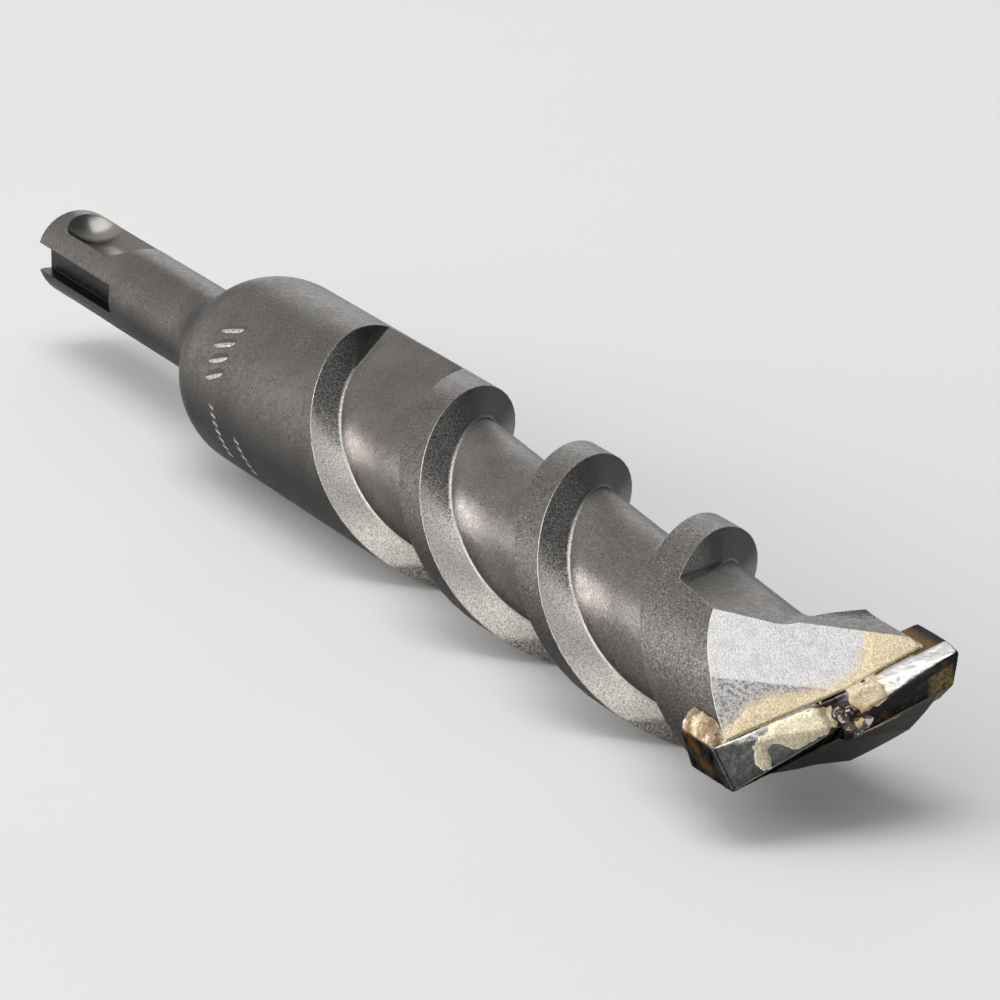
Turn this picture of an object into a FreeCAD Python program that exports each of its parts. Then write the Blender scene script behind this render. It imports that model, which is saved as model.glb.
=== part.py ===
import FreeCAD, Part
import os
from math import asin, cos, pi, radians, sin, sqrt

# Hammer drill bit with a slotted ten millimetre shank, two helical flutes and a
# carbide plate brazed across its head. Sizes in millimetres. The bit lies along X:
# the striking end of the shank is at x = 0, the tip points to +X, and +Z is up.

V = FreeCAD.Vector
AXIS = V(1, 0, 0)
ORIGIN = V(0, 0, 0)

# Shank
SHANK_R = 5.0
SHANK_CHAMFER = 0.6
SLOT_LENGTH = 25.0          # open drive slots, one on each side (+Y and -Y)
SLOT_WIDTH = 3.2
SLOT_FLOOR = 3.15           # distance of the slot floor from the axis
SLOT_CORNER_R = 0.7
GROOVE_START = 3.0          # closed ball grooves, above and below
GROOVE_END = 22.8
GROOVE_BALL_R = 5.0
GROOVE_DEPTH = 2.5

# Shoulder, body and tip
BODY_R = 10.63              # collar and lands
CONE_START = 49.3
CONE_END = 63.4
CONE_START_BLEND = 22.0
CONE_END_BLEND = 12.0
TIP_X = 210.62              # where the relief faces of the plate meet the axis
CUT_MARGIN = 2.0            # cutters reach this far past what they cut
BLANK_END = TIP_X + CUT_MARGIN

# Flutes: two, half a turn apart, right-handed, placed by their ends at the head
FLUTE_LEAD = 60.53
FLUTE_START_X = 93.46       # the full depth runs from here
FLUTE_END_SETBACK = 31.29   # to this far behind the tip
FLUTE_END_ANGLE = 172.7     # roll of the front edge there about X, from +Z
FLUTE_WIDTH = 24.6          # along the axis; what is left of half a lead is land
WALL_RUN = 1.4              # steep wall that faces the tip
WALL_FOOT_R = 7.6
FLOOR_LOW_R = 6.6
FLOOR_LOW_RUN = 18.0
WALL_FILLET = 0.5
RUN_OUT = 14.0              # straight run of the cut past both ends of the helix
RUN_OUT_OVERLAP = 0.3
FLUTE_LENGTH = TIP_X - FLUTE_END_SETBACK - FLUTE_START_X
FLUTE_ROLL = 360 * FLUTE_LENGTH / FLUTE_LEAD
FLUTE_START_ANGLE = FLUTE_END_ANGLE - FLUTE_ROLL

# Flats on both sides of the head
FLAT_ROLL = -7.3
FLAT_DISTANCE = 6.9
FLAT_SETBACK = 12.12        # the flat has its full depth from here to the tip
FLAT_ENTRY_R = 9.0          # radius of the cutter that made it

# Carbide plate: v runs along the plate, n across it
PLATE_ROLL = 17.3           # the plate is turned this much about X from Y
PLATE_OVERHANG = 1.37       # at each end, past the lands
PLATE_LENGTH = 2 * (BODY_R + PLATE_OVERHANG)
PLATE_THICKNESS = 4.0
PLATE_DEPTH = 10.02         # from its seat to the tip
BRIDGE_HALF = 0.3           # half width of the chisel bridge at the centre
PLATE_SEAT_X = TIP_X - PLATE_DEPTH

# Braze: a film between plate and slot, and a bead in each corner of plate and body
BRAZE_GAP = 0.12
BEAD_OUT = 1.15
BEAD_UP = 1.4
BEAD_ROOT = 0.8
BEAD_LENGTH = 8.0

# Head planes x = at + v * along + n * across; each has a copy turned half a turn
UPPER_FACET_LEAD = 1.13     # where each plane meets the axis, ahead of the tip
LOWER_FACET_LEAD = -0.26
RAKE_LEAD = -0.02
FACET_UPPER = (TIP_X + UPPER_FACET_LEAD, -0.198, -1.65)
FACET_LOWER = (TIP_X + LOWER_FACET_LEAD, 0.017, -1.15)
PLATE_RELIEF = (TIP_X, 0.143, -0.58)
PLATE_RAKE = (TIP_X + RAKE_LEAD, 0.121, -1.169)
HEAD_REACH = 2 * BODY_R      # past every side of the head


def rolled(shape, angle):
    """Copy of a shape rolled about the axis of the bit."""
    copy = shape.copy()
    copy.rotate(ORIGIN, AXIS, angle)
    return copy


def both_ways(shape):
    """A shape and its copy half a turn round."""
    return [shape, rolled(shape, 180)]


def box(x, y, z):
    """Box between pairs of x, y and z."""
    return Part.makeBox(x[1] - x[0], y[1] - y[0], z[1] - z[0], V(x[0], y[0], z[0]))


def turned_blank():
    """Shank, shoulder and full cylinder of the body, as turned."""
    outline = [
        (0, 0), (0, SHANK_R - SHANK_CHAMFER), (SHANK_CHAMFER, SHANK_R),
        (CONE_START, SHANK_R), (CONE_END, BODY_R), (BLANK_END, BODY_R), (BLANK_END, 0),
    ]
    wire = Part.makePolygon([V(x, 0, r) for x, r in outline + outline[:1]])
    blank = Part.Face(wire).revolve(ORIGIN, AXIS, 360)
    for x, radius, blend in ((CONE_START, SHANK_R, CONE_START_BLEND), (CONE_END, BODY_R, CONE_END_BLEND)):
        blank = blank.makeFillet(blend, [circle_at(blank, x, radius)])
    return blank


def circle_at(shape, x, radius):
    """The circular edge of a turned shape at one station."""
    for edge in shape.Edges:
        if isinstance(edge.Curve, Part.Circle) and abs(edge.Curve.Center.x - x) < 0.01:
            if abs(edge.Curve.Radius - radius) < 0.01:
                return edge
    raise ValueError("no circle at x = %s" % x)


def drive_slots():
    """The two open slots that turn the bit, with rounded inner corners."""
    half = SLOT_WIDTH / 2
    slot = box((-CUT_MARGIN, SLOT_LENGTH), (-SHANK_R - CUT_MARGIN, -SLOT_FLOOR), (-half, half))
    corners = [e for e in slot.Edges if e.BoundBox.XMin > 0 and e.BoundBox.YLength > CUT_MARGIN]
    slot = slot.makeFillet(SLOT_CORNER_R, corners)
    return both_ways(slot)


def ball_grooves():
    """The two closed grooves in which the locking balls run."""
    height = SHANK_R - GROOVE_DEPTH + GROOVE_BALL_R
    reach = sqrt(GROOVE_BALL_R ** 2 - (height - SHANK_R) ** 2)
    first = V(GROOVE_START + reach, 0, height)
    last = V(GROOVE_END - reach, 0, height)
    groove = Part.makeCylinder(GROOVE_BALL_R, (last - first).Length, first, AXIS)
    for centre in (first, last):
        groove = groove.fuse(Part.makeSphere(GROOVE_BALL_R, centre))
    return both_ways(groove)


def flute_profile():
    """Closed section of the flute cut in the plane of the axis, front edge at x = 0."""
    top = BODY_R + CUT_MARGIN
    slope = WALL_RUN / (BODY_R - WALL_FOOT_R)
    rise = BODY_R - FLOOR_LOW_R
    run = FLUTE_WIDTH - FLOOR_LOW_RUN
    radius = (run ** 2 + rise ** 2) / (2 * rise)
    centre = V(FLOOR_LOW_RUN, 0, FLOOR_LOW_R + radius)
    end_angle = asin(run / radius)
    past = V(cos(end_angle), 0, sin(end_angle)) * (CUT_MARGIN / sin(end_angle))

    def on_arc(angle):
        return centre + V(sin(angle), 0, -cos(angle)) * radius

    foot = V(WALL_RUN, 0, WALL_FOOT_R)
    low = on_arc(0)
    back = on_arc(end_angle)
    wall = V(-slope, 0, 1).normalize()
    floor = (low - foot).normalize()
    half = (1 + wall.dot(floor)) / 2
    setback = WALL_FILLET * sqrt(half / (1 - half))
    wall_end = foot + wall * setback
    floor_start = foot + floor * setback
    inward = (wall + floor).normalize()
    middle = foot + inward * (WALL_FILLET / sqrt(1 - half) - WALL_FILLET)
    crest = V(-slope * CUT_MARGIN, 0, top)
    return Part.Wire([
        Part.makeLine(crest, wall_end),
        Part.Arc(wall_end, middle, floor_start).toShape(),
        Part.makeLine(floor_start, low),
        Part.Arc(low, on_arc(end_angle / 2), back).toShape(),
        Part.makeLine(back, back + past),
        Part.makeLine(back + past, crest),
    ])


def flute_section(roll):
    """The flute profile carried along the helix by a roll counted from its start."""
    section = flute_profile()
    section.translate(V(FLUTE_START_X + FLUTE_LEAD * roll / 360, 0, 0))
    section.rotate(ORIGIN, AXIS, FLUTE_START_ANGLE + roll)
    return section


def helical_cut():
    """The flute profile swept along its helix."""
    helix = Part.makeHelix(FLUTE_LEAD, FLUTE_LEAD * FLUTE_ROLL / 360, BODY_R)
    helix.rotate(ORIGIN, V(0, 1, 0), 90)
    helix.rotate(ORIGIN, AXIS, 180)
    helix.translate(V(FLUTE_START_X, 0, 0))
    helix.rotate(ORIGIN, AXIS, FLUTE_START_ANGLE)
    sweep = Part.BRepOffsetAPI.MakePipeShell(Part.Wire(helix.Edges))
    sweep.setFrenetMode(True)
    sweep.add(flute_section(0))
    sweep.build()
    sweep.makeSolid()
    return sweep.shape()


def run_out(roll, sense):
    """The cut leaving the body along the tangent of the helix."""
    angle = radians(FLUTE_START_ANGLE + roll)
    along = V(FLUTE_LEAD / (2 * pi), -BODY_R * cos(angle), -BODY_R * sin(angle)) * (sense / BODY_R)
    section = Part.Face(flute_section(roll))
    section.translate(along * -RUN_OUT_OVERLAP)
    return section.extrude(along * (RUN_OUT + RUN_OUT_OVERLAP))


def flute_cuts():
    """Both flutes, each a helical cut with a straight run-out at its two ends."""
    pieces = [helical_cut(), run_out(0, -1), run_out(FLUTE_ROLL, 1)]
    return pieces + [rolled(piece, 180) for piece in pieces]


def head_flats():
    """The flat on each side of the head, where the flutes open to the tip."""
    reach = BODY_R + CUT_MARGIN
    end = BLANK_END + CUT_MARGIN
    rise = asin(1 - (reach - FLAT_DISTANCE) / FLAT_ENTRY_R)
    middle = (rise + pi / 2) / 2

    centre = V(TIP_X - FLAT_SETBACK, -reach, FLAT_DISTANCE + FLAT_ENTRY_R)

    def entry(angle):
        return centre - V(cos(angle), 0, sin(angle)) * FLAT_ENTRY_R

    start, top = entry(pi / 2), entry(rise)
    corners = [V(end, -reach, FLAT_DISTANCE), V(end, -reach, reach)]
    outline = Part.Wire([
        Part.Arc(top, entry(middle), start).toShape(),
        Part.makeLine(start, corners[0]),
        Part.makeLine(corners[0], corners[1]),
        Part.makeLine(corners[1], top),
    ])
    flat = Part.Face(outline).extrude(V(0, 2 * reach, 0))
    return both_ways(rolled(flat, FLAT_ROLL))


def beyond(plane, v_start=-HEAD_REACH, n_start=-HEAD_REACH):
    """Everything in front of a slanted head plane, from one v and one n outward."""
    at, along, across = plane
    ring = [
        (v_start, n_start), (HEAD_REACH, n_start), (HEAD_REACH, HEAD_REACH), (v_start, HEAD_REACH),
    ]
    points = [V(at + along * v + across * n, v, n) for v, n in ring]
    front = Part.Face(Part.makePolygon(points + points[:1])).extrude(AXIS * (4 * HEAD_REACH))
    return rolled(front, PLATE_ROLL)


def plate_box(grow=0.0):
    """The plate's block, or the slot around it when grown."""
    half_t = PLATE_THICKNESS / 2 + grow
    half_l = PLATE_LENGTH / 2
    block = box((PLATE_SEAT_X - grow, BLANK_END), (-half_l, half_l), (-half_t, half_t))
    return rolled(block, PLATE_ROLL)


def head_stock():
    """The steel before its slot is sawn: blank, shank cuts, flutes, flats and facets."""
    cuts = drive_slots() + ball_grooves() + flute_cuts() + head_flats()
    cuts += both_ways(beyond(FACET_UPPER)) + both_ways(beyond(FACET_LOWER))
    stock = turned_blank()
    for cut in cuts:
        stock = stock.cut(cut)
    return stock


def carbide_plate():
    """The plate with its relief faces and the two rake faces that meet on the ridge."""
    plate = plate_box()
    cuts = both_ways(beyond(PLATE_RELIEF))
    cuts += both_ways(beyond(PLATE_RAKE, v_start=BRIDGE_HALF, n_start=0))
    for cut in cuts:
        plate = plate.cut(cut)
    return plate


def braze_bead(v_side, n_side):
    """Triangular bead of braze where one edge of the plate stands out of the body."""
    face_n = PLATE_THICKNESS / 2
    edge_v = sqrt(BODY_R ** 2 - face_n ** 2)
    root = face_n - BRAZE_GAP
    triangle = [
        (edge_v - BEAD_ROOT, root), (edge_v + BEAD_OUT, root), (edge_v - BEAD_ROOT, face_n + BEAD_UP),
    ]
    points = [V(PLATE_SEAT_X, v * v_side, n * n_side) for v, n in triangle]
    bead = Part.Face(Part.makePolygon(points + points[:1])).extrude(AXIS * BEAD_LENGTH)
    return rolled(bead, PLATE_ROLL)


def braze_joint(stock):
    """Braze metal round the seat of the plate, with a bead in each outer corner."""
    film = stock.common(plate_box(BRAZE_GAP))
    for v_side in (1, -1):
        for n_side in (1, -1):
            film = film.fuse(braze_bead(v_side, n_side).cut(stock))
    for facet in (FACET_LOWER, FACET_UPPER):
        for front in both_ways(beyond(facet)):
            film = film.cut(front)
    return film.cut(plate_box())


def export(shape, name):
    """Write one node as STEP."""
    shape.removeSplitter().exportStep("parts/%s.step" % name)


os.makedirs("parts", exist_ok=True)
STOCK = head_stock()
PLATE = carbide_plate()
BRAZE = braze_joint(STOCK)
export(STOCK.cut(plate_box(BRAZE_GAP)), "steel_body")
export(PLATE, "carbide_plate")
export(BRAZE, "braze_joint")
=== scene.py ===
"""Looks of a hammer drill bit: blasted steel, carbide plate, braze, studio light and camera."""

from math import copysign, cos, exp, pi, radians, sin, sqrt, tau

import bmesh
import bpy
from mathutils import Matrix, Vector, noise
from mathutils.bvhtree import BVHTree


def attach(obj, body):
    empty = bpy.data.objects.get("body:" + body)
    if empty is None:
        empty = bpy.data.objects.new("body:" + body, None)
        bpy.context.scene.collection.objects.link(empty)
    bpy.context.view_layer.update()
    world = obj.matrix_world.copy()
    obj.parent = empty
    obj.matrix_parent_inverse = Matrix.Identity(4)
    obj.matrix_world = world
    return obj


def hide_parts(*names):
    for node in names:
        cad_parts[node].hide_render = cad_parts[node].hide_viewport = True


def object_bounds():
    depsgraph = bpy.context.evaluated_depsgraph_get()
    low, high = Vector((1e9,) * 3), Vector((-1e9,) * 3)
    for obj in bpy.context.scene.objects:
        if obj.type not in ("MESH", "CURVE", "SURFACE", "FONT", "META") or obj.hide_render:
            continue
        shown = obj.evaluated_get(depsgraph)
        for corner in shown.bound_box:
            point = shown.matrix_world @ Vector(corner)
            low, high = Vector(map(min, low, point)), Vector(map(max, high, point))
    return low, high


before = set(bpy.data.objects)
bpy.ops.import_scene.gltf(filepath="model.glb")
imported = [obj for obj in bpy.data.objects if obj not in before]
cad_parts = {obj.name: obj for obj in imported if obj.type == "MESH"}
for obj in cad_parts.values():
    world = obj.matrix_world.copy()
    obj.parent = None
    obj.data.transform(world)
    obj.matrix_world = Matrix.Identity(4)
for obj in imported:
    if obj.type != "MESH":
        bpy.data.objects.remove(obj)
CAD_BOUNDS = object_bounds()
MM = 0.001
MARGIN = 0.000005           # metres that a changed mesh stays inside the box

# Places on the bit, in millimetres, as its solids have them
BODY_R = 10.63
SHANK_R = 5.0
SLOT_END_X = 25.2
SLOT_HALF = 1.63            # half the width of a drive slot, with its edge
GROOVE_END_X = 23.0
COLLAR_X = 60.0             # where the shoulder has reached the collar
FLUTE_LEAD = 60.53
FLUTE_FRONT_X = 44.37       # front edge of one land where it passes -Y
FLUTE_START_X = 76.0
LAST_WALL_X = 165.0         # the wall beyond this is the last one, and it has no bright flecks
HEAD_START_X = 195.0
WALL_RUN = 1.4              # how far a flute's wall runs along the axis
WALL_FOOT_R = 7.6           # how far from the axis the foot of that wall lies
TIP_X = 210.62

# The head: v runs along the plate and n across it
PLATE_ROLL = 17.3
PLATE_HALF = 2.0            # half the plate's thickness
SEAM_HALF = 2.12            # with the braze on its two sides
SEAT_END = 10.3             # v where the plate stands out of the body
SEATED_X = 203.0            # the plate's skin is worn from here to the tip
ALONG_PLATE = Vector((0, cos(radians(PLATE_ROLL)), sin(radians(PLATE_ROLL))))
ACROSS_PLATE = Vector((0, -sin(radians(PLATE_ROLL)), cos(radians(PLATE_ROLL))))
UPPER_FACET = (1.13, -0.198, -1.65)     # x ahead of the tip at the axis, and its slopes along v and n
LOWER_FACET = (-0.26, 0.017, -1.15)
NEAR_RIDGE, FAR_RIDGE = 0.151, 0.109    # how the plate's two cutting edges slant, n over v
RAKE_TOP = (208.44, -0.128)             # x of the far rake's upper border at v = 0, and its slope along v

# Corners of the plate's front that the photograph shows lower: x, v and n before and after
SAME_PLACE = 0.05           # how far off a corner may be and still be the one listed
LOWERED_CORNERS = (
    ((209.50, 0.30, 2.00), (208.40, 0.30, 2.00)),
    ((209.71, 12.00, 2.00), (206.90, 12.00, 2.00)),
    ((209.95, 12.00, 1.80), (208.90, 12.00, 1.35)),
)

# Wedges of braze in the plate's corners: outline in v and n, and how far behind the tip they start
BEAD_SINK = 0.15            # how far their front lies below the facets
LARGE_BEAD = (((10.1, 1.9), (11.95, 1.9), (11.6, 2.5), (10.9, 3.2), (10.1, 3.5)), 9.9)
SMALL_BEAD = (((10.1, 1.9), (11.1, 1.9), (10.7, 2.25), (10.1, 2.5)), 7.0)

# Lumps of flux at the chisel edge: v, n, x and radius
FLUX_LUMPS = (
    (0.9, -0.15, 209.25, 1.30),
    (2.0, -0.70, 209.20, 1.05),
    (0.1, 0.60, 209.15, 0.85),
    (1.35, -1.25, 208.75, 1.00),
)

# Braze film on the facets: least reach across the plate, and bells added to that: v, width, height
FILM_REACH = 2.35
FILM_BELLS = ((-5.6, 4.2, 1.25), (9.4, 3.5, 3.4))
FAR_FILM_REACH = 2.2        # the same on the side that isn't seen
FAR_FILM_BELLS = ((-6.0, 3.5, 1.4), (4.0, 4.0, 1.0))

# Braze splashed over the plate: v and n of its middle, half length, half width; a bare spot: v, n, radius
SPLASHES = ((-4.2, 0.80, 3.9, 1.20), (-8.2, -0.35, 0.9, 0.8), (3.3, 1.20, 1.75, 1.05))
BARE_SPOT = (-6.5, -0.1, 0.75)

# Grid on which the film is laid, in cells from the axis
PLATE_CELLS = 15            # out to the lip where the film meets the plate's side
CELLS_ALONG, CELLS_ACROSS = 92, 36
CELL = (SEAM_HALF + 0.015) / (PLATE_CELLS + 1)
LIP_DEPTH, LIP_GAP = 0.12, 0.03     # of the lip: below the facets, and off the plate's side
LIP_THICKNESS = 0.05
RAY_START_X, RAY_LENGTH = TIP_X + 5, 20     # of the rays that find the surface under the film
LEAST_FACING = 0.25         # x of the normal on the steepest face that takes film
SUNK_RIM = -0.04            # thickness down to which the film's rim runs under the surface
LONGEST_DROP = 0.7          # within one cell, along the axis

# A stamped stroke's cross section: across it in half widths, and its height above the collar
STROKE_PROFILE = ((-1.0, -0.03), (-0.70, 0.05), (-0.35, 0.09), (0.10, 0.012), (0.80, 0.012), (1.0, -0.03))
STROKE_END = 0.45           # how much of that is left at its two ends
STROKE_PARTS = 5

# Rows of strokes: number, x and arc of the first one's two ends, their steps to the next one, and width
MARK_ROWS = (
    (4, (71.6, 2.2), (75.8, 3.5), (-0.3, 1.75), (-0.2, 1.75), 1.30),
    (7, (73.0, -0.5), (74.5, -0.7), (0.2, -0.9), (0.2, -0.9), 0.80),
    (5, (79.4, -2.9), (80.8, -3.1), (0.3, -0.9), (0.3, -0.9), 0.80),
)

FLOOR_GAP = 0.02            # below the bit, so that the two don't share a plane
FLOOR_HALF = 6.0            # metres

# Camera, at the photograph's viewing angle
CAMERA_TARGET = (128.4, 0.0, 1.19)
CAMERA_DISTANCE = 744.6
CAMERA_AZIMUTH = 22.34      # from +X towards -Y
CAMERA_HEIGHT = 14.56
CAMERA_LENS = 268.2
SENSOR_WIDTH = 36.0

# Soft lamps: name, azimuth, height, size in metres, what a mirror would show of them, and tint
LAMP_AIM = (0.13, 0.0, 0.0)     # metres
LAMP_DISTANCE = 1.2             # metres
LAMPS = (
    ("overhead", 90, 85, (0.9, 0.8), 1.8, (1, 1, 1)),
    ("key", 70, 20, (0.9, 0.6), 1.5, (1.0, 0.98, 0.95)),
    ("rear", 126, 13, (0.55, 0.46), 5.0, (1.0, 0.94, 0.91)),
    ("rim", -155, 12, (0.5, 0.35), 2.2, (0.97, 0.98, 1.0)),
)


class Shader:
    """A node material in the making, with short calls for the nodes that repeat."""

    def __init__(self, name):
        self.material = bpy.data.materials.new(name)
        self.material.use_nodes = True
        self.tree = self.material.node_tree
        self.principled = self.tree.nodes["Principled BSDF"]
        self.coords = self.add("ShaderNodeTexCoord").outputs["Object"]

    def add(self, kind, inputs=None, **settings):
        """A node with its settings, and its inputs set to values or linked to sockets."""
        node = self.tree.nodes.new(kind)
        for key, value in settings.items():
            setattr(node, key, value)
        for key, value in (inputs or {}).items():
            self.feed(node.inputs[key], value)
        return node

    def feed(self, socket, value):
        """A value or another node's output into a socket."""
        if isinstance(value, bpy.types.NodeSocket):
            self.tree.links.new(value, socket)
        else:
            socket.default_value = value

    def math(self, operation, *values):
        """One arithmetic step."""
        return self.add("ShaderNodeMath", dict(enumerate(values)), operation=operation).outputs[0]

    def total(self, *terms):
        """Sum of several values."""
        result = terms[0]
        for term in terms[1:]:
            result = self.math("ADD", result, term)
        return result

    def product(self, *factors):
        """Product of several values, such as masks that must all hold."""
        result = factors[0]
        for factor in factors[1:]:
            result = self.math("MULTIPLY", result, factor)
        return result

    def ramp(self, value, low, high, start=0.0, end=1.0):
        """Smooth step of a value from low to high."""
        inputs = {0: value, 1: low, 2: high, 3: start, 4: end}
        return self.add("ShaderNodeMapRange", inputs, interpolation_type="SMOOTHSTEP").outputs[0]

    def band(self, value, low, high, soft):
        """One between low and high, zero outside, with soft borders."""
        rise = self.ramp(value, low - soft, low + soft)
        return self.product(rise, self.ramp(value, high + soft, high - soft))

    def bell(self, value, centre, width):
        """Bell curve of a value, one at its centre."""
        offset = self.math("DIVIDE", self.math("SUBTRACT", value, centre), width)
        return self.math("EXPONENT", self.product(offset, offset, -1.0))

    def noise(self, size, detail=2.0, roughness=0.5):
        """Noise whose features are about size millimetres wide, from 0 to 1."""
        inputs = {"Vector": self.coords, "Scale": 1 / (size * MM), "Detail": detail, "Roughness": roughness}
        return self.add("ShaderNodeTexNoise", inputs).outputs["Fac"]

    def mix(self, factor, first, second):
        """Mix of two colours."""
        node = self.add("ShaderNodeMix", data_type="RGBA")
        for socket, value in zip((node.inputs[0], node.inputs[6], node.inputs[7]), (factor, first, second)):
            self.feed(socket, value)
        return node.outputs[2]

    def graded(self, value, low, high, first, second):
        """Colour that runs from the first to the second as a value goes from low to high."""
        return self.mix(self.ramp(value, low, high), first, second)

    def tinted(self, base, colour, *masks):
        """A colour laid over another where all masks hold."""
        return self.mix(self.product(*masks), base, colour)

    def blend(self, factor, first, second):
        """Mix of two numbers."""
        node = self.add("ShaderNodeMix", data_type="FLOAT")
        for socket, value in zip((node.inputs[0], node.inputs[2], node.inputs[3]), (factor, first, second)):
            self.feed(socket, value)
        return node.outputs[0]

    def bump(self, height, depth, normal=None):
        """Relief with depth in millimetres at a height of one."""
        inputs = {"Strength": 1.0, "Distance": depth * MM, "Height": height}
        if normal is not None:
            inputs["Normal"] = normal
        return self.add("ShaderNodeBump", inputs).outputs[0]

    def rounded(self, radius):
        """Normal with the edges rounded, radius in millimetres, and how strongly each point is rounded."""
        normal = self.add("ShaderNodeBevel", {"Radius": radius * MM}, samples=8).outputs[0]
        flat = self.add("ShaderNodeNewGeometry").outputs["Normal"]
        same = self.add("ShaderNodeVectorMath", {0: normal, 1: flat}, operation="DOT_PRODUCT")
        return normal, self.ramp(same.outputs["Value"], 0.985, 0.90)

    def leaning(self, normal, lean):
        """A normal that leans towards +X by a small number."""
        push = self.add("ShaderNodeCombineXYZ", {0: lean}).outputs[0]
        pushed = self.add("ShaderNodeVectorMath", {0: normal, 1: push}, operation="ADD").outputs[0]
        return self.add("ShaderNodeVectorMath", {0: pushed}, operation="NORMALIZE").outputs[0]

    def finish(self, **inputs):
        """The material, with the surface's own sockets set, such as Roughness."""
        for key, value in inputs.items():
            self.feed(self.principled.inputs[key.replace("_", " ")], value)
        return self.material


def grey(level, warmth=0.0):
    """A near-neutral colour, warmer than grey by a share."""
    return (level * (1 + warmth), level, level * (1 - warmth), 1.0)


class Places:
    """Coordinates that follow the bit: along it, round it, along the flutes and in the head."""

    def __init__(self, shader):
        self.s = shader
        scaled = shader.add("ShaderNodeVectorMath", {0: shader.coords, "Scale": 1 / MM}, operation="SCALE")
        self.x, self.y, self.z = shader.add("ShaderNodeSeparateXYZ", {0: scaled.outputs[0]}).outputs
        m = shader.math
        self.radius = m("SQRT", m("ADD", m("MULTIPLY", self.y, self.y), m("MULTIPLY", self.z, self.z)))
        self.turn = m("ARCTAN2", self.z, m("MULTIPLY", self.y, -1.0))
        a = radians(PLATE_ROLL)
        self.v = m("ADD", m("MULTIPLY", self.y, cos(a)), m("MULTIPLY", self.z, sin(a)))
        self.n = m("ADD", m("MULTIPLY", self.y, -sin(a)), m("MULTIPLY", self.z, cos(a)))

    def behind_front_edge(self):
        """Distance along the axis from the front edge of the nearest land towards the tip."""
        m = self.s.math
        along = m("ADD", self.x, m("MULTIPLY", self.turn, FLUTE_LEAD / tau))
        return m("FLOORED_MODULO", m("SUBTRACT", along, FLUTE_FRONT_X), FLUTE_LEAD / 2)

    def on_facets(self):
        """Masks of the head's slanted facets, and of those among them that are rougher and darker: the
        lower ones, and those beneath as painted shade.
        """
        s, m = self.s, self.s.math
        side = m("SIGN", self.n)
        v, n = m("MULTIPLY", self.v, side), m("MULTIPLY", self.n, side)
        planes = []
        for lead, slope_v, slope_n in (UPPER_FACET, LOWER_FACET):
            planes.append(s.total(m("MULTIPLY", v, slope_v), m("MULTIPLY", n, slope_n), TIP_X + lead))
        below = m("SUBTRACT", m("MINIMUM", *planes), self.x)
        in_head = s.ramp(self.x, HEAD_START_X - 3, HEAD_START_X - 2.9)
        lower = s.ramp(m("SUBTRACT", planes[0], planes[1]), 0.0, 0.08)
        # The facets beneath, which get a darker colour as painted shade
        beneath = s.ramp(self.n, 0.0, -0.1)
        return s.product(s.ramp(below, 0.06, 0.02), in_head), m("MAXIMUM", lower, beneath)


def blasted(s, places, outside):
    """Warm grey of blasted steel: clouded, mottled with brown, coarser near the tip, with painted shade
    beneath.
    """
    base = s.graded(s.noise(7.0, 3.0, 0.6), 0.35, 0.65, grey(0.175, 0.055), grey(0.215, 0.045))
    base = s.tinted(base, (0.235, 0.190, 0.172, 1), s.ramp(s.noise(1.3, 3.0, 0.65), 0.48, 0.70), 0.45)
    speckle = s.noise(0.20, 2.0, 0.75)
    coarseness = s.product(s.ramp(places.x, COLLAR_X, 190.0, 0.42, 1.0), s.blend(outside, 0.55, 1.0))
    base = s.tinted(base, grey(0.07, 0.05), s.ramp(speckle, 0.47, 0.36), coarseness)
    base = s.tinted(base, grey(0.46, 0.03), s.ramp(speckle, 0.54, 0.66), coarseness)
    # Painted shade: the undersides of the shank, collar and lands darkened
    return s.tinted(base, grey(0.035, -0.05), s.band(places.turn, -2.4, -0.05, 0.30), outside, 0.62)


def flute_walls(s, places, grit):
    """Grainy walls of the flutes: bright at the side, with painted shade high up, in a band across the
    middle and beneath, and painted glints before the last wall.
    """
    slant = s.math("SUBTRACT", places.turn, s.math("MULTIPLY", places.radius, 0.12))
    above = s.ramp(places.turn, 2.9, 2.4)
    wall = s.graded(grit, 0.34, 0.64, (0.25, 0.23, 0.205, 1), (0.53, 0.51, 0.48, 1))
    # Painted shade: a darker band across the middle of the walls
    wall = s.tinted(wall, grey(0.20, 0.04), s.bell(slant, -1.25, 0.35), 0.40)
    # Painted shade on the upper part of the walls
    upper_wall_shade = s.graded(grit, 0.42, 0.62, grey(0.085, 0.05), grey(0.42, 0.04))
    wall = s.tinted(wall, upper_wall_shade, s.ramp(slant, -0.88, -0.66), above, 0.80)
    # Painted shade at the crest of the walls
    wall = s.tinted(wall, grey(0.09, -0.03), s.ramp(places.turn, 1.2, 1.6), above, 0.8)
    # Painted glints: near-white flecks on the grain in a band round the bit, on the walls before the last
    flecked_glints = s.graded(grit, 0.40, 0.62, grey(0.20, 0.05), grey(0.92, 0.04))
    before_last = s.ramp(places.x, LAST_WALL_X + 7.0, LAST_WALL_X)
    wall = s.tinted(wall, flecked_glints, s.bell(places.turn, 1.0, 0.34), before_last, 0.9)
    # Painted shade on the walls beneath
    shaded = s.graded(grit, 0.40, 0.62, grey(0.05, 0.05), grey(0.25, 0.04))
    return s.tinted(wall, shaded, s.band(slant, -3.0, -2.2, 0.05), 0.85)


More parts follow.
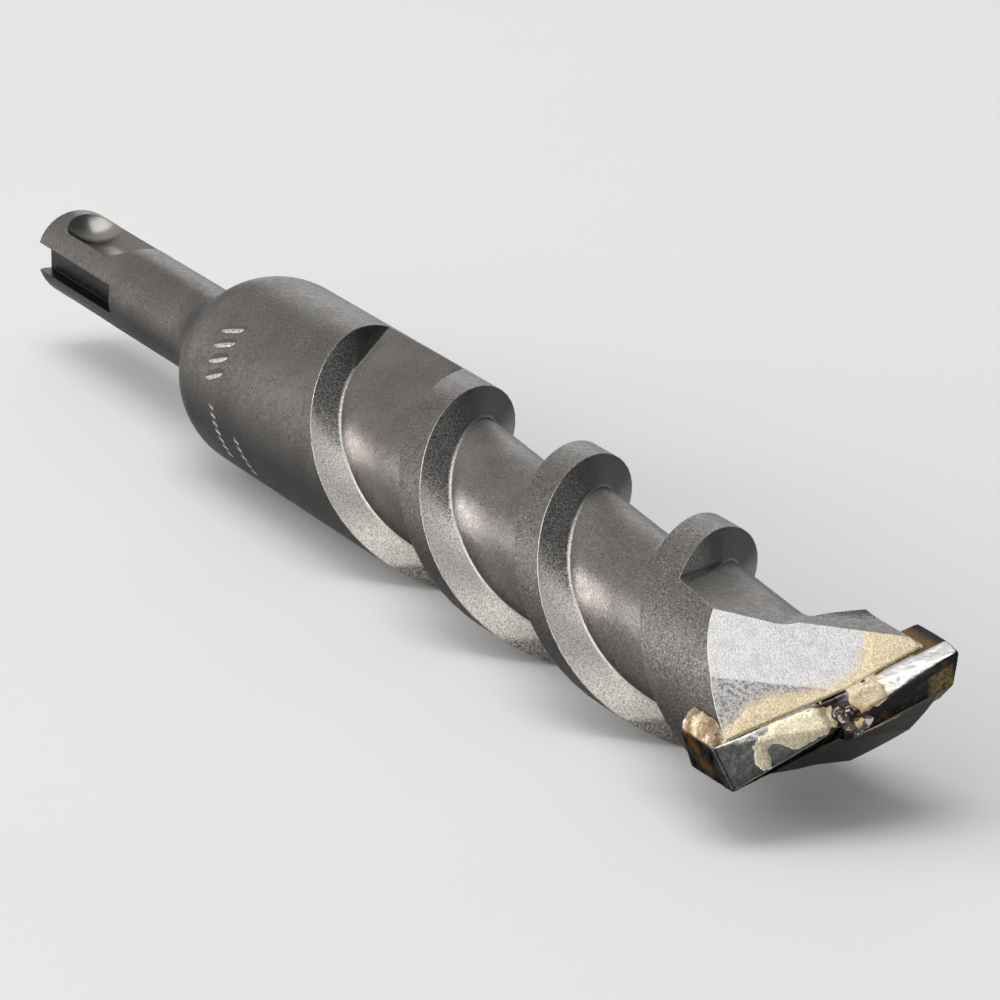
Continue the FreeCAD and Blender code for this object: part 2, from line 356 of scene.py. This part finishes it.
def ground_facets(s, places, grit, lower_or_shaded_facet):
    """Bright ground facets of the head: the lower ones coarser, golden near the plate, with painted shade
    beneath.
    """
    mottling = s.noise(1.3, 3.0, 0.65)
    ground = s.graded(grit, 0.32, 0.56, grey(0.42, 0.02), grey(0.66, 0.012))
    ground = s.tinted(ground, grey(0.40, 0.03), s.ramp(mottling, 0.46, 0.66), 0.40)
    coarse = s.graded(s.noise(0.34, 3.0, 0.7), 0.38, 0.60, grey(0.20, 0.03), grey(0.50, 0.02))
    ground = s.tinted(ground, coarse, lower_or_shaded_facet)
    # Painted shade: the facets beneath darkened further
    ground = s.tinted(ground, grey(0.05, 0.0), s.ramp(places.n, 0.0, -0.1), 0.8)
    bells = [s.product(s.bell(places.v, centre, width), height) for centre, width, height in FILM_BELLS]
    reach = s.total(FILM_REACH, *bells)
    gilded = s.ramp(s.total(reach, s.product(mottling, 1.6), -0.8, s.product(places.n, -1.0)), -0.8, 0.3)
    gold = s.graded(grit, 0.34, 0.60, (0.48, 0.37, 0.22, 1), (0.78, 0.67, 0.46, 1))
    return s.tinted(ground, gold, gilded, s.ramp(places.n, 0.0, 0.5), 0.85)


def steel():
    """Blasted steel: warm grey, grainy on the walls, brighter on worn edges and ground facets, with a
    painted highlight along the feet of the walls and on the head's upper edges, and painted shade in the
    drive slots.
    """
    s = Shader("blasted_steel")
    places = Places(s)
    behind = places.behind_front_edge()
    fluted = s.product(
        s.ramp(places.x, FLUTE_START_X - 2, FLUTE_START_X + 4),
        s.ramp(places.x, HEAD_START_X + 2, HEAD_START_X),
    )
    below_lands = s.ramp(places.radius, BODY_R - 0.02, BODY_R - 0.12)
    outside = s.math("SUBTRACT", 1.0, s.product(fluted, below_lands))
    facets, lower_or_shaded_facet = places.on_facets()
    on_wall = s.product(s.ramp(behind, WALL_RUN + 0.5, WALL_RUN + 0.1), fluted, below_lands)
    wall_foot_highlight = s.product(
        s.band(behind, WALL_RUN - 0.02, WALL_RUN + 0.16, 0.10),
        fluted,
        s.ramp(places.radius, WALL_FOOT_R + 1.0, WALL_FOOT_R + 0.5),
    )
    in_groove = s.product(
        s.ramp(places.x, GROOVE_END_X + 1.0, GROOVE_END_X),
        s.ramp(places.radius, SHANK_R - 0.02, SHANK_R - 0.12),
        s.ramp(places.z, 2.2, 2.6),
    )
    in_slot = s.product(
        s.ramp(places.x, SLOT_END_X + 0.1, SLOT_END_X - 0.1),
        s.band(places.z, -SLOT_HALF, SLOT_HALF, 0.03),
        s.ramp(places.radius, SHANK_R - 0.1, SHANK_R - 0.4),
    )

    grit = s.noise(0.19, 3.0, 0.75)
    base = blasted(s, places, outside)
    base = s.tinted(base, flute_walls(s, places, grit), on_wall)
    base = s.tinted(base, ground_facets(s, places, grit, lower_or_shaded_facet), facets)
    # Painted shade in the recess of the drive slots
    base = s.tinted(base, grey(0.075, -0.04), in_slot, 0.75)
    base = s.tinted(base, grey(0.27, 0.05), in_groove)

    edge_normal, edge = s.rounded(0.14)
    chipped = s.ramp(s.noise(0.7, 3.0, 0.6), 0.32, 0.46)
    worn = s.product(edge, chipped, s.ramp(places.x, COLLAR_X, COLLAR_X + 4.0))
    # Worn edges, and a painted highlight along the feet of the walls
    base = s.tinted(base, grey(0.74, 0.03), s.math("MAXIMUM", worn, s.product(wall_foot_highlight, 0.55)))
    on_head = s.ramp(places.x, HEAD_START_X - 1, HEAD_START_X)
    # Edges of the head, bright on its upper side only: worn edges with a painted highlight
    base = s.tinted(base, grey(0.85, 0.01), edge, on_head, s.ramp(places.n, 0.0, 1.0))

    grain = s.noise(0.23, 2.0, 0.6)
    coarse = s.math("MAXIMUM", on_wall, facets)
    relief = s.blend(coarse, s.product(grain, 0.60), s.product(grit, 0.9))
    relief = s.blend(in_groove, relief, s.product(grain, 0.12))
    rough = s.ramp(s.noise(0.8, 3.0, 0.6), 0.3, 0.7, 0.25, 0.35)
    rough = s.blend(in_groove, s.blend(coarse, rough, 0.34), 0.24)
    falling = {0: behind, 1: WALL_RUN, 2: WALL_RUN + 9.0, 3: 0.20, 4: 0.0}
    lean = s.add("ShaderNodeMapRange", falling).outputs[0]
    lean = s.product(lean, s.math("SUBTRACT", 1.0, on_wall), fluted, below_lands)
    return s.finish(
        Base_Color=base, Metallic=1.0, Roughness=rough, Specular_Tint=(0.42, 0.42, 0.42, 1),
        Normal=s.leaning(s.bump(relief, 0.050, edge_normal), lean),
    )


def carbide():
    """Sintered carbide: dark grey with brown stains, brighter where it is bare and smooth, and near black
    as painted shade on the faces below the cutting edges.
    """
    s = Shader("carbide")
    places = Places(s)
    v, n = places.v, places.n
    clouds = s.noise(1.9, 4.0, 0.62)
    stains = s.noise(1.1, 3.0, 0.6)
    ridge = s.math("MINIMUM", s.product(v, NEAR_RIDGE), s.product(v, FAR_RIDGE))
    ahead = s.math("SUBTRACT", n, ridge)

    base = s.graded(clouds, 0.40, 0.60, grey(0.10, -0.03), grey(0.20, 0.01))
    middle_or_end = s.math("MAXIMUM", s.ramp(v, -10.9, -11.6), s.ramp(s.math("ABSOLUTE", v), 2.6, 1.2))
    base = s.tinted(base, (0.23, 0.15, 0.08, 1), s.ramp(stains, 0.47, 0.62), middle_or_end, 0.8)

    # Near relief, darker towards its cutting edge, and the burnt middle
    bare = s.graded(s.noise(0.26, 3.0, 0.7), 0.36, 0.62, (0.31, 0.325, 0.31, 1), (0.48, 0.50, 0.47, 1))
    sooty = s.ramp(s.total(ahead, s.product(clouds, 1.2)), 1.9, 0.6)
    bare = s.tinted(bare, grey(0.13, 0.0), sooty, 0.60)
    base = s.tinted(base, bare, s.ramp(v, -1.5, -2.5), s.ramp(ahead, 0.0, 0.12))
    base = s.tinted(base, (0.055, 0.042, 0.034, 1), s.bell(v, -0.4, 1.5), 0.9)

    # Faces below the cutting edges, near black as painted shade, with stains and with gold at the far end
    dark = s.tinted(grey(0.028, -0.02), (0.10, 0.068, 0.04, 1), s.ramp(stains, 0.52, 0.62), 0.55)
    far_end = s.product(s.ramp(s.total(v, s.product(clouds, 2.0)), 9.8, 10.8), s.ramp(v, 12.2, 11.9))
    grains = s.ramp(s.noise(0.4, 3.0, 0.7), 0.30, 0.62)
    dark = s.tinted(dark, (0.19, 0.145, 0.07, 1), far_end, s.ramp(ahead, -0.7, -1.1), grains)
    base = s.tinted(base, dark, s.ramp(ahead, 0.06, -0.10))

    # Far relief, polished, and golden towards the middle
    polished = s.tinted(grey(0.66, 0.008), (0.66, 0.52, 0.30, 1), s.ramp(v, 6.4, 4.6), 0.6)
    rake = s.product(s.ramp(v, 1.6, 2.6), s.ramp(ahead, 0.0, 0.12))
    base = s.tinted(base, polished, rake, s.ramp(clouds, 0.10, 0.30))

    # Side of the plate at its far end, scorched near the seat
    below_rake = s.math("SUBTRACT", places.x, s.total(s.product(v, RAKE_TOP[1]), RAKE_TOP[0]))
    side = s.product(s.ramp(n, 1.7, 1.85), s.ramp(v, 9.0, 9.5), s.ramp(below_rake, 0.05, -0.15))
    scorched = s.ramp(s.total(v, s.product(stains, 1.4)), 13.1, 11.9)
    base = s.tinted(base, s.tinted(grey(0.09, 0.02), (0.25, 0.175, 0.10, 1), scorched), side)

    # Near end face, charcoal with a slanting band of rust
    charcoal = s.graded(clouds, 0.40, 0.60, grey(0.055, 0.0), grey(0.10, -0.01))
    rust = s.product(s.bell(s.math("ADD", places.x, n), 203.8, 1.7), s.ramp(stains, 0.36, 0.58))
    base = s.tinted(base, s.tinted(charcoal, (0.19, 0.12, 0.065, 1), rust), s.ramp(v, -11.5, -11.8))

    edge_normal, edge = s.rounded(0.10)
    base = s.tinted(base, grey(0.45, 0.02), edge, 0.35)
    return s.finish(
        Base_Color=base, Metallic=1.0, Specular_Tint=(0.30, 0.30, 0.30, 1),
        Roughness=s.ramp(stains, 0.35, 0.65, 0.20, 0.34),
        Normal=s.bump(s.noise(0.30, 3.0, 0.6), 0.012, edge_normal),
    )


def braze():
    """Golden braze metal with a granular surface, browner on the beads at the plate's ends, paler on the
    plate as partly painted light, and near black as painted shade along the seam beneath.
    """
    s = Shader("braze")
    places = Places(s)
    grains = s.noise(0.20, 3.0, 0.75)
    patches = s.noise(1.3, 3.0, 0.6)
    base = s.graded(grains, 0.34, 0.60, (0.50, 0.39, 0.24, 1), (0.84, 0.74, 0.53, 1))
    base = s.tinted(base, (0.60, 0.40, 0.22, 1), s.ramp(patches, 0.52, 0.68), 0.40)
    # Paler braze on the plate's near half: partly its colour, partly painted light
    pale = s.graded(grains, 0.36, 0.58, (0.64, 0.52, 0.33, 1), (1.0, 0.93, 0.74, 1))
    on_plate = s.band(places.n, -PLATE_HALF, PLATE_HALF, 0.06)
    base = s.tinted(base, pale, s.ramp(places.v, -0.8, -2.0), on_plate, 0.85)
    toasted = s.product(s.bell(places.v, 1.9, 1.3), s.bell(places.n, 0.5, 1.0))
    base = s.tinted(base, (0.52, 0.31, 0.14, 1), toasted, s.ramp(patches, 0.25, 0.55), 0.75)
    # Painted shade: the braze along the seam beneath near black
    base = s.tinted(base, (0.06, 0.042, 0.025, 1), s.band(places.n, -2.9, -1.9, 0.1), 0.9)
    burnt = s.product(s.ramp(places.radius, BODY_R - 0.3, BODY_R + 0.4), s.ramp(patches, 0.36, 0.56))
    base = s.tinted(base, (0.20, 0.12, 0.06, 1), burnt, 0.8)
    return s.finish(
        Base_Color=base, Metallic=0.75, Roughness=0.42, Specular_Tint=(0.5, 0.5, 0.5, 1),
        Normal=s.bump(grains, 0.035),
    )


def flux():
    """Glassy lump of brown flux and braze at the chisel edge."""
    s = Shader("flux")
    places = Places(s)
    patches = s.noise(1.0, 2.0, 0.5)
    ripples = s.noise(0.45, 2.0, 0.5)
    base = s.graded(patches, 0.40, 0.62, (0.085, 0.068, 0.055, 1), (0.17, 0.125, 0.09, 1))
    base = s.tinted(base, (0.60, 0.57, 0.54, 1), s.ramp(ripples, 0.54, 0.60))
    silver = s.product(s.bell(places.v, 2.4, 0.55), s.bell(places.n, -0.5, 0.9))
    silver = s.ramp(s.math("ADD", silver, s.product(ripples, 0.6)), 0.70, 0.95)
    base = s.tinted(base, (0.62, 0.60, 0.57, 1), silver)
    core = s.product(s.bell(places.v, 1.25, 0.60), s.bell(places.n, -0.25, 0.60))
    core = s.ramp(s.math("ADD", core, s.product(ripples, 0.9)), 0.95, 1.10)
    base = s.tinted(base, (0.80, 0.58, 0.30, 1), core)
    return s.finish(
        Base_Color=base, Metallic=0.9, Roughness=s.ramp(patches, 0.3, 0.7, 0.08, 0.18),
        Normal=s.bump(s.noise(0.6), 0.01),
    )


def stamped_steel():
    """Steel pressed up round a stamped mark, bright on the burr, partly wear and partly painted highlight,
    and dark in the groove as painted shadow.
    """
    s = Shader("stamped_steel")
    places = Places(s)
    burr = s.ramp(places.radius, BODY_R + 0.012, BODY_R + 0.04)
    chipped = s.ramp(s.noise(0.35, 2.0, 0.6), 0.35, 0.6)
    # Painted highlight on the burr and painted shadow on the low strip beside it
    base = s.tinted(grey(0.05, 0.05), grey(0.60, 0.03), burr, s.ramp(chipped, 0.0, 1.0, 0.4, 1.0))
    return s.finish(Base_Color=base, Metallic=1.0, Roughness=0.30, Normal=s.bump(s.noise(0.25), 0.02))


def floor_finish():
    """Plain pale floor."""
    s = Shader("pale_floor")
    tone = s.mix(s.noise(60.0, 2.0), grey(0.88), grey(0.90))
    return s.finish(Base_Color=tone, Roughness=0.9, Specular_IOR_Level=0.1)


def dress(node, material):
    """A CAD node's own object with another material."""
    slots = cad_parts[node].data.materials
    slots.clear()
    slots.append(material)


def in_head(point):
    """Position along the plate and across it, in millimetres, from a point in millimetres."""
    return point.dot(ALONG_PLATE), point.dot(ACROSS_PLATE)


def from_head(x, v, n):
    """A point in millimetres from its place along the axis, along the plate and across it."""
    return Vector((x, 0, 0)) + ALONG_PLATE * v + ACROSS_PLATE * n


def hill(v, n, centre, size):
    """A round hill of height one, with its half width in millimetres."""
    return exp(-((v - centre[0]) ** 2 + (n - centre[1]) ** 2) / size ** 2)


def clamped(value, low=0.0, high=1.0):
    """A value kept between two limits."""
    return min(max(value, low), high)


def new_object(name, mesh, material, node=None):
    """A piece of the bit that rides on its body, with smooth shading."""
    mesh.materials.clear()
    mesh.materials.append(material)
    for face in mesh.polygons:
        face.use_smooth = True
    piece = bpy.data.objects.new(name, mesh)
    bpy.context.collection.objects.link(piece)
    if node:
        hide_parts(node)
    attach(piece, "root")
    return piece


def mesh_from(builder, name):
    """A mesh from one under construction, which ends there."""
    mesh = bpy.data.meshes.new(name)
    builder.to_mesh(mesh)
    builder.free()
    return mesh


def remeshed(source, scale, voxel, rounds):
    """A mesh brought to millimetres, made of even small faces and with its edges rounded off."""
    mesh = source.copy()
    mesh.transform(Matrix.Scale(scale, 4))
    helper = bpy.data.objects.new("helper", mesh)
    bpy.context.collection.objects.link(helper)
    remesh = helper.modifiers.new("remesh", "REMESH")
    remesh.mode = "VOXEL"
    remesh.voxel_size = voxel
    smooth = helper.modifiers.new("smooth", "SMOOTH")
    smooth.factor = 0.5
    smooth.iterations = rounds
    bpy.context.view_layer.update()
    depsgraph = bpy.context.evaluated_depsgraph_get()
    result = bpy.data.meshes.new_from_object(helper.evaluated_get(depsgraph))
    bpy.data.objects.remove(helper)
    return result


def finish_mesh(mesh, move):
    """A mesh in millimetres moved by a function of place and normal, kept in the box, in metres."""
    (_, low_y, low_z), (high_x, high_y, high_z) = CAD_BOUNDS
    normals = [vertex.normal.copy() for vertex in mesh.vertices]
    for vertex, normal in zip(mesh.vertices, normals):
        spot = move(vertex.co.copy(), normal) * MM
        spot.x = min(spot.x, high_x - MARGIN)
        spot.y = clamped(spot.y, low_y + MARGIN, high_y - MARGIN)
        spot.z = clamped(spot.z, low_z + MARGIN, high_z - MARGIN)
        vertex.co = spot
    mesh.update()


def wear_plate(point, normal):
    """The plate's worn skin: lumpy, hollow round the chisel edge, and swollen by braze at its far end."""
    v, n = in_head(point)
    worn = clamped((point.x - SEATED_X) / 2.0)
    lumps = noise.noise(point * 0.9) * 0.04 + noise.noise(point * 2.6) * 0.015 - 0.02
    hollows = 0.50 * hill(v, n, (0.3, 0.0), 1.3) + 0.25 * hill(v, n, (-0.9, 1.3), 0.6)
    swell = clamped((v - 9.0) / 3.0) * clamped((n + 2.0) / 3.0)
    return point + normal * (lumps - hollows) * worn + ALONG_PLATE * 0.95 * swell


def make_plate(material):
    """The carbide plate with rounded worn edges and a lumpy skin."""
    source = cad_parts["carbide_plate"].data.copy()
    for vertex in source.vertices:
        place = Vector((vertex.co.x / MM, *in_head(vertex.co / MM)))
        for before, after in LOWERED_CORNERS:
            if (place - Vector(before)).length < SAME_PLACE:
                vertex.co = from_head(*after) * MM
    mesh = remeshed(source, 1 / MM, voxel=0.13, rounds=7)
    finish_mesh(mesh, wear_plate)
    return new_object("worn_carbide_plate", mesh, material, "carbide_plate")


def facet_x(v, n):
    """Where the head's facets stand along the axis, from the place along and across the plate."""
    side = 1 if n > 0 else -1
    facets = (UPPER_FACET, LOWER_FACET)
    return min(TIP_X + lead + slope_v * v * side + slope_n * n * side for lead, slope_v, slope_n in facets)


def lumpy_bead(point, normal):
    """The uneven skin of a bead of braze."""
    return point + normal * (0.02 + 0.08 * noise.noise(point * 1.3) + 0.04 * noise.noise(point * 3.6))


def make_beads(material):
    """Wedges of braze in the corners where the plate stands out of the body, with a lumpy skin."""
    builder = bmesh.new()
    beads = ((-1, 1, LARGE_BEAD), (1, 1, SMALL_BEAD), (1, -1, LARGE_BEAD), (-1, -1, SMALL_BEAD))
    for side_v, side_n, (outline, back) in beads:
        corners = []
        for v, n in outline:
            v, n = v * side_v, n * side_n
            for x in (TIP_X - back, facet_x(v, n) - BEAD_SINK):
                corners.append(builder.verts.new(from_head(x, v, n)))
        bmesh.ops.convex_hull(builder, input=corners)
    mesh = remeshed(mesh_from(builder, "rough_beads"), 1, voxel=0.12, rounds=2)
    finish_mesh(mesh, lumpy_bead)
    return new_object("braze_beads", mesh, material, "braze_joint")


def make_knob(material):
    """The glassy lump that sits in the hollow at the chisel edge."""
    builder = bmesh.new()
    for v, n, x, radius in FLUX_LUMPS:
        place = Matrix.Translation(from_head(x, v, n))
        bmesh.ops.create_icosphere(builder, subdivisions=3, radius=radius, matrix=place)
    mesh = remeshed(mesh_from(builder, "rough_knob"), 1, voxel=0.10, rounds=4)
    finish_mesh(mesh, lambda point, normal: point + normal * 0.12 * noise.noise(point * 1.5))
    return new_object("flux_lump", mesh, material)


def uneven(v, n, *layers):
    """Noise over the head, from layers that each have a height, waves per millimetre and a level."""
    return sum(
        height * noise.noise(Vector((v * waves, n * waves, level)))
        for height, waves, level in layers
    )


def film_on_facets(v, n):
    """Thickness of the braze film beside the plate, in millimetres, below zero where there is none."""
    ragged = uneven(v, n, (0.35, 0.9, 3.0), (0.18, 2.7, 5.0))
    reach, bells = (FAR_FILM_REACH, FAR_FILM_BELLS) if n < 0 else (FILM_REACH, FILM_BELLS)
    border = reach + sum(height * exp(-((v - centre) / width) ** 2) for centre, width, height in bells)
    return min(0.06, 0.08 * (border + ragged - abs(n)))


def film_on_plate(v, n):
    """Thickness of the braze splashed over the plate, in millimetres, below zero where it is bare."""
    ragged = uneven(v, n, (0.55, 0.8, 9.0), (0.30, 2.4, 2.0))
    best = -1.0
    for centre_v, centre_n, half_v, half_n in SPLASHES:
        reach = sqrt(((v - centre_v) / half_v) ** 2 + ((n - centre_n) / half_n) ** 2)
        best = max(best, (1.0 - reach) * min(half_v, half_n) + ragged * 0.5)
    bare = 0.9 * hill(v, n, BARE_SPOT[:2], BARE_SPOT[2])
    return min(0.07, 0.20 * (best - bare))


def surface_of(piece):
    """A piece's faces for rays to hit, in millimetres."""
    corners = [piece.matrix_world @ vertex.co / MM for vertex in piece.data.vertices]
    return BVHTree.FromPolygons(corners, [tuple(face.vertices) for face in piece.data.polygons])


def film_points(plate):
    """Points of the film and its thickness there, by their cells along and across the plate."""
    on_body, on_plate = surface_of(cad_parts["steel_body"]), surface_of(plate)
    points, thickness = {}, {}
    for i in range(-CELLS_ALONG, CELLS_ALONG + 1):
        for j in range(-CELLS_ACROSS, CELLS_ACROSS + 1):
            v, n = i * CELL, j * CELL
            if abs(j) == PLATE_CELLS:
                if film_on_facets(v, n) > 0 and abs(v) < SEAT_END:
                    n_lip = copysign(PLATE_HALF + LIP_GAP, n)
                    points[i, j] = from_head(facet_x(v, n) - LIP_DEPTH, v, n_lip)
                    thickness[i, j] = LIP_THICKNESS
                continue
            surface, film = (on_plate, film_on_plate) if abs(j) < PLATE_CELLS else (on_body, film_on_facets)
            start = from_head(RAY_START_X, v, n)
            hit, normal, _, _ = surface.ray_cast(start, Vector((-1, 0, 0)), RAY_LENGTH)
            if hit is None or normal.x < LEAST_FACING:
                continue
            depth = film(v, n)
            if depth < SUNK_RIM:
                continue
            grains = 0.015 * noise.noise(hit * 3.1) + 0.012 * noise.noise(hit * 6.3)
            spot = hit + normal * (depth + (grains if depth > 0 else 0.0))
            spot.x = min(spot.x, TIP_X - 0.01)
            points[i, j], thickness[i, j] = spot, depth
    return points, thickness


def make_film(plate, material):
    """The granular braze film: a height field over the head, laid on the facets and the plate."""
    points, thickness = film_points(plate)
    names, corners, faces = {}, [], []
    for i, j in points:
        square = [(i, j), (i + 1, j), (i + 1, j + 1), (i, j + 1)]
        if any(corner not in points for corner in square):
            continue
        if max(thickness[corner] for corner in square) <= 0:
            continue
        heights = [points[corner].x for corner in square]
        if max(heights) - min(heights) > LONGEST_DROP:
            continue
        for corner in square:
            if corner not in names:
                names[corner] = len(corners)
                corners.append(points[corner] * MM)
        faces.append([names[corner] for corner in square])
    mesh = bpy.data.meshes.new("braze_film")
    mesh.from_pydata(corners, [], faces)
    mesh.update()
    return new_object("braze_film", mesh, material)


def stroke(path, width, corners, faces):
    """A stamped stroke on the collar: a burr along one side of a low strip, painted dark as a groove's
    shadow, through points in x and arc.
    """
    start, last = len(corners), len(STROKE_PROFILE)
    for k, (x, arc) in enumerate(path):
        before, after = path[max(k - 1, 0)], path[min(k + 1, len(path) - 1)]
        run = Vector((after[0] - before[0], after[1] - before[1])).normalized()
        taper = STROKE_END if k in (0, len(path) - 1) else 1.0
        for offset, height in STROKE_PROFILE:
            shift = offset * width / 2 * taper
            turn = (arc + run.x * shift) / BODY_R
            radius = BODY_R + (height if height < 0 else height * taper)
            corners.append(Vector((x - run.y * shift, -radius * cos(turn), radius * sin(turn))) * MM)
    for k in range(len(path) - 1):
        for i in range(last - 1):
            a = start + k * last + i
            faces.append((a, a + last, a + last + 1, a + 1))


def make_marks(material):
    """Plain stamped marks on the collar: four broad slanting strokes and two rows of ticks."""
    corners, faces = [], []
    for count, start, end, start_step, end_step, width in MARK_ROWS:
        for k in range(count):
            first, last = Vector(start) + Vector(start_step) * k, Vector(end) + Vector(end_step) * k
            path = [tuple(first.lerp(last, part / STROKE_PARTS)) for part in range(STROKE_PARTS + 1)]
            stroke(path, width, corners, faces)
    mesh = bpy.data.meshes.new("collar_marks")
    mesh.from_pydata(corners, [], faces)
    mesh.update()
    return new_object("collar_marks", mesh, material)


def make_floor(level):
    """A large plane that the bit lies on."""
    half = FLOOR_HALF
    corners = [(-half, -half, level), (half, -half, level), (half, half, level), (-half, half, level)]
    mesh = bpy.data.meshes.new("floor")
    mesh.from_pydata(corners, [], [(0, 1, 2, 3)])
    mesh.materials.append(floor_finish())
    floor = bpy.data.objects.new("floor", mesh)
    bpy.context.collection.objects.link(floor)


def direction(azimuth, height):
    """Unit vector; azimuth runs from +X towards -Y, height is above the floor."""
    a, h = radians(azimuth), radians(height)
    return Vector((cos(a) * cos(h), -sin(a) * cos(h), sin(h)))


def make_lamp(name, azimuth, height, size, brightness, tint):
    """A soft lamp aimed at the bit; brightness is what a mirror would show of it."""
    lamp = bpy.data.lights.new(name, "AREA")
    lamp.shape = "RECTANGLE"
    lamp.size, lamp.size_y = size
    lamp.energy = brightness * pi * size[0] * size[1]
    lamp.color = tint
    holder = bpy.data.objects.new(name, lamp)
    towards = direction(azimuth, height)
    holder.location = Vector(LAMP_AIM) + towards * LAMP_DISTANCE
    holder.rotation_euler = towards.to_track_quat("Z", "Y").to_euler()
    bpy.context.collection.objects.link(holder)


def make_world(dim, bright):
    """Even light from all round, brighter behind and on the camera's side than beyond the bit."""
    world = bpy.data.worlds.new("studio")
    world.use_nodes = True
    tree = world.node_tree
    coords = tree.nodes.new("ShaderNodeTexCoord")
    towards = tree.nodes.new("ShaderNodeVectorMath")
    towards.operation = "DOT_PRODUCT"
    towards.inputs[1].default_value = (-0.6, -0.8, 0.0)
    level = tree.nodes.new("ShaderNodeMapRange")
    level.interpolation_type = "SMOOTHSTEP"
    for socket, value in zip(list(level.inputs)[1:5], (-0.5, 0.35, dim, bright)):
        socket.default_value = value
    background = tree.nodes["Background"]
    background.inputs["Color"].default_value = (1, 1, 1, 1)
    tree.links.new(coords.outputs["Generated"], towards.inputs[0])
    tree.links.new(towards.outputs["Value"], level.inputs[0])
    tree.links.new(level.outputs[0], background.inputs["Strength"])
    bpy.context.scene.world = world


def make_camera():
    """The photograph's view."""
    camera = bpy.data.cameras.new("camera")
    camera.lens = CAMERA_LENS
    camera.sensor_width = SENSOR_WIDTH
    holder = bpy.data.objects.new("camera", camera)
    towards = direction(CAMERA_AZIMUTH, CAMERA_HEIGHT)
    holder.location = (Vector(CAMERA_TARGET) + towards * CAMERA_DISTANCE) * MM
    holder.rotation_euler = (-towards).to_track_quat("-Z", "Y").to_euler()
    bpy.context.collection.objects.link(holder)
    bpy.context.scene.camera = holder


golden = braze()
dress("steel_body", steel())
plate = make_plate(carbide())
make_beads(golden)
make_film(plate, golden)
make_knob(flux())
make_marks(stamped_steel())

make_floor(CAD_BOUNDS[0][2] - FLOOR_GAP * MM)
for name, *settings in LAMPS:
    make_lamp(name, *settings)
make_world(dim=0.12, bright=0.85)
make_camera()
bpy.context.scene.view_settings.view_transform = "Standard"
